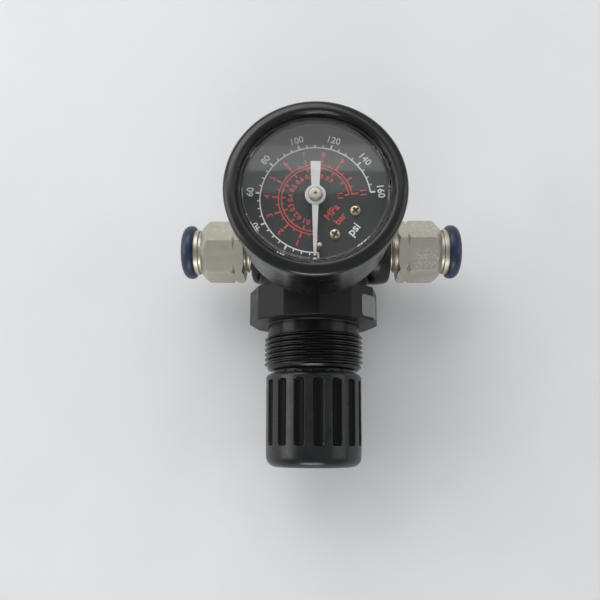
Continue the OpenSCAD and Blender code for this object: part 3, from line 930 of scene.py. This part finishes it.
def make_case():
    """Case, bezel and window, each a shell of revolution."""
    wall = 0.9
    stem_bore = 5.25
    case = [
        (stem_bore, CASE_LOW, 0.1),
        (CASE_R - 0.1, CASE_LOW, 2.6),
        (CASE_R, CASE_TOP, 0.1),
        (CASE_R - wall, CASE_TOP, 0.1),
        (CASE_R - wall, CASE_LOW + wall, 1.6),
        (stem_bore, CASE_LOW + wall, 0.1),
    ]
    shell = turned(bevelled(case, 0.1, 8), 192)
    piece("gauge_case_pressed", shell, GAUGE, "gauge_case", "gauge_black")
    crown_r = WINDOW_R + 0.9
    dome_r = BEZEL_R - crown_r
    dome_h = 1.4
    dome = np.radians(np.arange(90, -1, -9))
    bezel = [
        (CASE_R + 0.05, BEZEL_LOW, 0.1),
        (BEZEL_R, BEZEL_LOW, 0.3),
        *[(crown_r + dome_r * math.sin(a), BEZEL_TOP - dome_h * (1 - math.cos(a)), 0) for a in dome],
        (WINDOW_R + 0.4, BEZEL_TOP - 0.2, 0.2),
        (WINDOW_R, BEZEL_TOP - 1.0, 0.3),
        (WINDOW_R, LENS_TOP + 0.05, 0.05),
        (CASE_R + 0.05, LENS_TOP + 0.05, 0.05),
    ]
    piece("bezel_ring", turned(bevelled(bezel, 0.1, 6), 192), GAUGE, "bezel", "gauge_black")
    groove_r = 17.65
    lens = [
        (0, LENS_LOW),
        (CASE_R - 0.05, LENS_LOW, 0.15),
        (CASE_R - 0.05, LENS_TOP, 0.15),
        (groove_r + 0.25, LENS_TOP, 0.1),
        (groove_r, LENS_TOP - 0.3, 0.1),
        (groove_r - 0.35, LENS_TOP, 0.1),
        (0, LENS_TOP),
    ]
    shell = turned(bevelled(lens, 0.1, 4, closed=False), 192)
    piece("lens_window", shell, GAUGE, "lens", "lens_clear")


def flat_strip(inner, outer):
    """Raised strip of print between two rows of points on the dial."""
    low = DIAL_TOP - 0.01
    high = DIAL_TOP + PRINT_T
    rings = [[(*a, low), (*b, low), (*b, high), (*a, high)] for a, b in zip(inner, outer)]
    return capped([np.array(corners) for corners in rings])


def psi_angle(psi):
    """Direction of a pressure on the dial's scales, in degrees."""
    return ZERO_ANGLE - DEGREES_PER_PSI * psi


def on_circle(r, degrees):
    turn = math.radians(degrees)
    return (r * math.cos(turn), r * math.sin(turn))


def printed_arc(r, width):
    """Line of a scale, from its zero to its full value."""
    turns = np.linspace(psi_angle(0), psi_angle(FULL_SCALE), 121)
    inner = [on_circle(r - width / 2, t) for t in turns]
    outer = [on_circle(r + width / 2, t) for t in turns]
    return flat_strip(inner, outer)


def printed_tick(degrees, start, stop, width):
    """Mark of a scale, from one radius to another."""
    out = Vector(on_circle(1, degrees))
    side = Vector((-out.y, out.x)) * (width / 2)
    left = [out * start - side, out * stop - side]
    right = [out * start + side, out * stop + side]
    return flat_strip(left, right)


def printed_text(text, height, x, y, degrees):
    """Numerals or a unit as raised print, centred on (x, y) and turned by degrees."""
    curve = bpy.data.curves.new("text", "FONT")
    curve.body = text
    curve.align_x = "CENTER"
    curve.align_y = "CENTER"
    curve.size = height / 0.7  # the font's numerals are 0.7 of its size
    curve.extrude = PRINT_T
    curve.offset = 0.05  # thickens the strokes
    curve.resolution_u = 3
    obj = bpy.data.objects.new("text", curve)
    bpy.context.scene.collection.objects.link(obj)
    evaluated = obj.evaluated_get(bpy.context.evaluated_depsgraph_get())
    mesh = bpy.data.meshes.new_from_object(evaluated)
    bpy.data.objects.remove(obj)
    move = Matrix.Translation((x, y, DIAL_TOP)) @ Matrix.Rotation(math.radians(degrees), 4, "Z")
    points = [tuple(move @ v.co) for v in mesh.vertices]
    faces = [tuple(p.vertices) for p in mesh.polygons]
    return points, faces


def make_dial():
    """Dial plate with a white psi scale and red bar and MPa scales printed on it."""
    plate_low = DIAL_TOP - 0.5
    plate_r = CASE_R - 1.2
    hole_r = 1.2
    plate = [
        (hole_r, plate_low),
        (plate_r, plate_low, 0.1),
        (plate_r, DIAL_TOP, 0.1),
        (hole_r, DIAL_TOP),
    ]
    piece("dial_plate", turned(bevelled(plate, 0.08), 160), GAUGE, "dial", "dial_face")
    numeral_r = 16.3
    white = [printed_arc(PSI_R, 0.32)]
    for psi in range(0, FULL_SCALE + 1, 5):
        angle = psi_angle(psi)
        if psi % 20:
            white.append(printed_tick(angle, PSI_R, 14.5, 0.27))
            continue
        white.append(printed_tick(angle, PSI_R, 14.95, 0.46))
        if psi:
            white.append(printed_text(str(psi), 1.7, *on_circle(numeral_r, angle), angle - 90))
    white.append(printed_text("psi", 2.1, 0, -12.3, 0))
    piece("dial_print_white", joined(*white), GAUGE, "dial", "print_white", replaces=())
    bar_numeral_r = 11.95
    mpa_numeral_r = 6.15
    unnumbered_bar = 10  # has its marks but no numerals
    red = [printed_arc(r, 0.3) for r in (BAR_R, MPA_R)]
    for half_bar in range(0, 23):
        bar = half_bar / 2
        angle = psi_angle(bar * PSI_PER_BAR)
        if half_bar % 2:
            red.append(printed_tick(angle, BAR_R, 9.85, 0.26))
            red.append(printed_tick(angle, MPA_R, 7.9, 0.24))
            continue
        red.append(printed_tick(angle, BAR_R, 10.8, 0.42))
        red.append(printed_tick(angle, MPA_R, 7.35, 0.38))
        if bar and bar != unnumbered_bar:
            red.append(printed_text(f"{bar:.0f}", 1.5, *on_circle(bar_numeral_r, angle), angle - 90))
            red.append(printed_text(f"{bar / 10:.1f}", 1.2, *on_circle(mpa_numeral_r, angle), angle - 90))
    red.append(printed_text("MPa", 1.8, 0, -5.3, 0))
    red.append(printed_text("bar", 1.7, 0, -8.0, 0))
    piece("dial_print_red", joined(*red), GAUGE, "dial", "print_red", replaces=())


def cross_head(radius, height, x, y, degrees, low):
    """Domed screw head with a cross recess, and a plain shank below it."""
    angles = even_angles(72)
    base = low + SHANK
    shank_r = radius * 0.52
    chamfer = 0.08
    arm = radius * 0.2
    reach = radius * 0.72
    rings = [
        ring(angles, 0, low),
        ring(angles, shank_r, low),
        ring(angles, shank_r, base),
        ring(angles, radius - chamfer, base),
        ring(angles, radius, base + chamfer),
    ]

    def slot(across, along):
        """1 inside one slot of the cross and 0 outside it, with steep sides."""
        side = np.clip((arm - np.abs(across)) / 0.06 + 0.5, 0, 1)
        return side * np.clip((reach - np.abs(along)) / 0.08, 0, 1)

    for share in np.linspace(1, 0, 26):
        r = radius * share
        px = r * np.cos(angles)
        py = r * np.sin(angles)
        dome = base + height * (0.55 + 0.45 * math.sqrt(max(0, 1 - share**2.5)))
        cut = np.maximum(slot(py, px), slot(px, py)) * height * 0.8
        rings.append(ring(angles, r, dome - cut))
    points, faces = loft(rings)
    move = Matrix.Translation((x, y, 0)) @ Matrix.Rotation(math.radians(degrees), 4, "Z")
    return [tuple(move @ Vector(p)) for p in points], faces


def make_dial_screws():
    """Two brass screws. The floor of each recess is painted dark and dull, as painted shade."""
    low = DIAL_TOP + 0.02 - SHANK
    head_r = 1.3
    head_h = 0.66
    screw_x = 3.96
    screw_y = -9.6
    slot_turn = 20  # degrees for each millimetre along x, so that the two crosses differ
    heads = [cross_head(head_r, head_h, x, screw_y, slot_turn * x, low) for x in (-screw_x, screw_x)]
    shell = joined(*heads)
    screws = piece("dial_screws_turned", shell, GAUGE, "dial_screws", "screw_brass", sharp=60)
    screws.data.materials.append(MATERIALS["screw_recess_painted_shade"])
    # the upward faces low in each recess get the painted shade
    for face in screws.data.polygons:
        if face.normal.z > 0.3 and face.center.z / MM - AXIS_Z < DIAL_TOP + 0.32:
            face.material_index = 1


def make_pointer():
    """Painted needle with a broad tail on a round hub, and the cap over it."""
    low = edge_of("pointer", 0, "z") - AXIS_Z
    rest = 219.5  # direction of the needle at rest, beside the stop pin
    turn = Matrix.Rotation(math.radians(rest), 4, "Z")
    # One side of the needle from tail to tip, (along it, across it).
    side = [(-8.8, 1.15), (-8.7, 1.25), (-2.4, 1.0), (0, 1.0), (2.4, 0.82), (15.3, 0.33), (15.36, 0.2)]
    outline = side + [(x, -y) for x, y in reversed(side)]

    def layer(inset, z):
        inner = [(x * (1 - inset / 9), y * (1 - inset)) for x, y in outline]
        return np.array([tuple(turn @ Vector((x, y, low + z))) for x, y in inner])

    needle = capped([layer(0.06, 0), layer(0, 0.05), layer(0, 0.33), layer(0.06, 0.38)])
    bore = 0.52
    hub_r = 2.55
    hub = [(bore, low), (hub_r, low, 0.05), (hub_r, low + 0.6, 0.12), (bore, low + 0.6)]
    shell = joined(needle, turned(bevelled(hub, 0.05), 96))
    piece("pointer_painted", shell, GAUGE, "pointer", "pointer_white")
    cap_low = edge_of("pointer_cap", 0, "z") - AXIS_Z
    cap_top = edge_of("pointer_cap", 1, "z") - AXIS_Z
    bore = 0.35
    cap_r = 1.75
    cap = [
        (bore, cap_low),
        (cap_r, cap_low, 0.06),
        (cap_r, cap_top - 0.35, 0.2),
        (cap_r - 0.4, cap_top - 0.05, 0.2),
        (bore, cap_top, 0.08),
    ]
    shell = turned(bevelled(cap, 0.06, 4), 96)
    piece("pointer_cap_turned", shell, GAUGE, "pointer_cap", "cap_nickel")


def make_stop_pin():
    """Round pin just behind the zero mark."""
    low = DIAL_TOP + 0.02
    top = edge_of("stop_pin", 1, "z") - AXIS_Z
    pin_r = 0.6
    outline = [(0, low), (pin_r, low), (pin_r, top, 0.25), (0, top)]
    points, faces = turned(bevelled(outline, 0.05, 4, closed=False), 48)
    pin_at = 12.8
    pin_angle = 224.5
    shell = (points + np.array([*on_circle(pin_at, pin_angle), 0]), faces)
    piece("stop_pin_turned", shell, GAUGE, "stop_pin", "screw_brass")


# ---------- springs and the parts inside


def cross_section(turn, r, height):
    """Ring of a wire or tube that runs around the local z. r and height are arrays."""
    return np.stack([r * math.cos(turn), r * math.sin(turn), height], 1)


def coil(radius, wire, low, high, turns):
    """Round-wire compression spring whose end turns are closed."""
    steps = 48
    along = np.linspace(0, turns, int(turns * steps) + 1)
    edge = np.minimum(along, turns - along)
    closed_pitch = 2.04 * wire
    open_share = np.clip((edge - 0.75) / 0.5, 0, 1)
    closed_length = closed_pitch * turns
    spare = high - low - 2 * wire - closed_length
    rise = np.concatenate([[0], np.cumsum((open_share[1:] + open_share[:-1]) / 2)])
    z = low + wire + closed_pitch * along + spare * rise / rise[-1]
    around = even_angles(12)
    r = radius + wire * np.cos(around)
    lift = wire * np.sin(around)
    rings = [cross_section(2 * math.pi * a, r, height + lift) for a, height in zip(along, z)]
    return capped(rings)


def bent_tube(start, stop):
    """Flattened tube along an arc inside the gauge case, closed at both ends. Angles are in degrees."""
    radius = 15.2
    wall = 0.6
    half_height = 2.3
    around = even_angles(24)
    middle = middle_of("bourdon_tube", "z") - AXIS_Z
    height = middle + np.sign(np.sin(around)) * (half_height - wall) + wall * np.sin(around)
    r = radius + wall * np.cos(around)
    turns = np.radians(np.linspace(start, stop, int(abs(stop - start) / 3) + 1))
    return capped([cross_section(turn, r, height) for turn in turns])


def make_bourdon_tube():
    """The tube in two pieces, because its last stretch moves with the tip."""
    root = -100
    split = -340
    tip = -371
    piece("bourdon_tube_bent", bent_tube(root, split), GAUGE, "bourdon_tube", "brass")
    piece("bourdon_tube_end", bent_tube(split, tip), GAUGE, "bourdon_tip", "brass", replaces=())


# Coil radius, wire radius, turns, and the joint that shortens the spring.
SPRINGS = {
    "range_spring": (8.4, 0.9, 7, "nut_travel"),
    "valve_spring": (4.3, 0.45, 5, "valve_lift"),
}


def make_springs():
    """One closed-end coil for each spring, between the ends of its CAD node, on a mesh of its own. In the
    regulator, each spring shortens towards its end away from the knob.
    """
    for node, (radius, wire, turns, joint_name) in SPRINGS.items():
        low = SHOULDER_Y - edge_of(node, 1, "y")
        high = SHOULDER_Y - edge_of(node, 0, "y")
        spring = piece(node + "_wire", coil(radius, wire, low, high, turns), VALVE, node, "steel")
        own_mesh(spring)


# Material and bevel, in millimetres, of each CAD shape that only needs softer edges.
PLAIN_PARTS = {
    "rear_port_plug": ("steel", 0.12),
    "bottom_plug": ("plug_plastic", 0.25),
    "bottom_plug_oring": ("rubber", 0),
    "valve_seat": ("brass", 0.08),
    "poppet": ("brass", 0.1),
    "poppet_seal": ("rubber", 0.08),
    "diaphragm": ("rubber", 0.1),
    "diaphragm_plate": ("plate_alloy", 0.1),
    "relief_seat": ("brass", 0.08),
    "slip_ring": ("slip_plastic", 0.06),
    "spring_nut": ("brass", 0.15),
    "thrust_washer": ("steel", 0.06),
    "adjusting_screw": ("steel", 0.12),
    "screw_clip": ("steel", 0.08),
    "gauge_stem": ("brass", 0.12),
    "gauge_restrictor": ("steel", 0.05),
    "case_screws": ("steel", 0.05),
    "bourdon_tip": ("brass", 0.06),
    "movement_back_plate": ("brass", 0.06),
    "movement_pillars": ("brass", 0.06),
    "movement_front_plate": ("brass", 0.06),
    "sector_gear": ("brass", 0.02),
    "link_bar": ("steel", 0.04),
    "pinion_arbor": ("steel", 0.02),
    "hairspring": ("brass", 0),
    "lens_gasket": ("rubber", 0.05),
}

make_camera()
make_light()
make_floor()
MATERIALS = make_materials()
make_body()
make_bonnet()
make_knob()
make_label()
make_fitting(-1, "inlet")
make_fitting(1, "outlet")
make_case()
make_dial()
make_dial_screws()
make_pointer()
make_stop_pin()
make_springs()
make_bourdon_tube()
for part_name, (part_material, part_bevel) in PLAIN_PARTS.items():
    softened(part_name, part_material, part_bevel)
